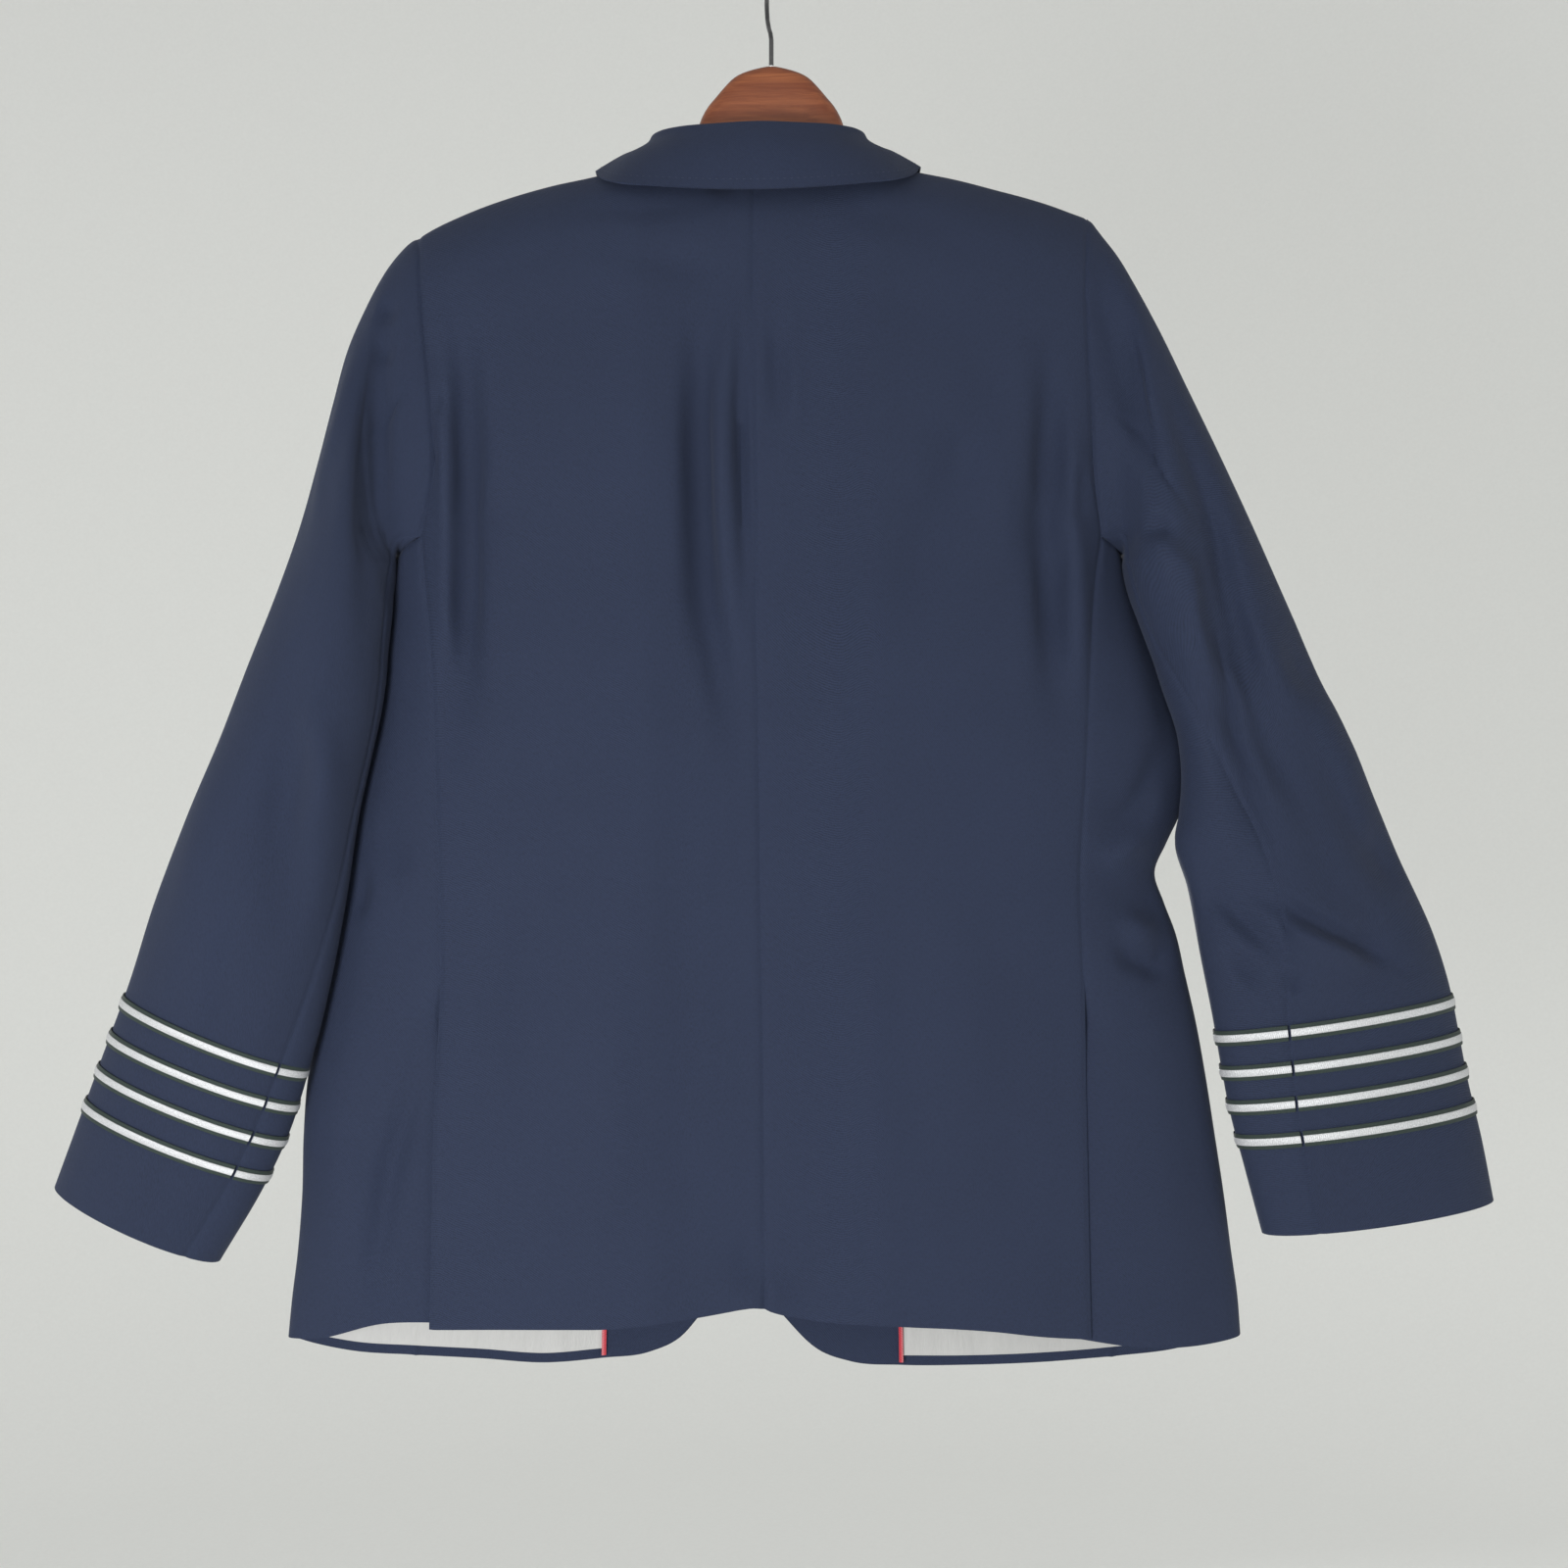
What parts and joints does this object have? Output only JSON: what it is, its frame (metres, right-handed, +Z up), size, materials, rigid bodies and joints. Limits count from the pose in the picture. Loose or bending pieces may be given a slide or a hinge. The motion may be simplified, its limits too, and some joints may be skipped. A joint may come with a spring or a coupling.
{
  "type": "pilot uniform jacket on a wooden hanger",
  "caption": "Navy tailored uniform jacket with silver sleeve braid and side vents, hung by its shoulders on a wooden hanger with a wire hook.",
  "frame": {"origin": "inner top of the hanger's hook, where the rail carries it", "axes": "+Z up; the jacket's back faces -Y, as in the picture, and its front faces +Y; the wearer's left is at -X"},
  "size_m": [0.9378, 0.1128, 0.9298],
  "materials": {
    "navy_wool": "matte worsted wool twill",
    "grey_lining": "smooth lining with a soft sheen",
    "red_piping": "satin piping",
    "silver_braid": "woven metallic braid with narrow dark borders",
    "silver_metal": "plain domed metal button",
    "brown_wood": "varnished fine grain",
    "steel_wire": "dark plated wire"
  },
  "bodies": {
    "root": {"back_left": "navy_wool", "back_right": "navy_wool", "side_left": "navy_wool", "side_right": "navy_wool", "front_left": "navy_wool", "front_right": "navy_wool", "facing_left": "navy_wool", "facing_right": "navy_wool", "lining_left": "grey_lining", "lining_right": "grey_lining", "piping_left": "red_piping", "piping_right": "red_piping", "lapel_left": "navy_wool", "lapel_right": "navy_wool", "collar": "navy_wool", "sleeve_top_left": "navy_wool", "sleeve_top_right": "navy_wool", "sleeve_under_left": "navy_wool", "sleeve_under_right": "navy_wool", "braid_left_1": "silver_braid", "braid_left_2": "silver_braid", "braid_left_3": "silver_braid", "braid_left_4": "silver_braid", "braid_right_1": "silver_braid", "braid_right_2": "silver_braid", "braid_right_3": "silver_braid", "braid_right_4": "silver_braid", "button_1": "silver_metal", "button_2": "silver_metal", "hanger_body": "brown_wood", "hanger_hook": "steel_wire"}
  },
  "joints": []
}
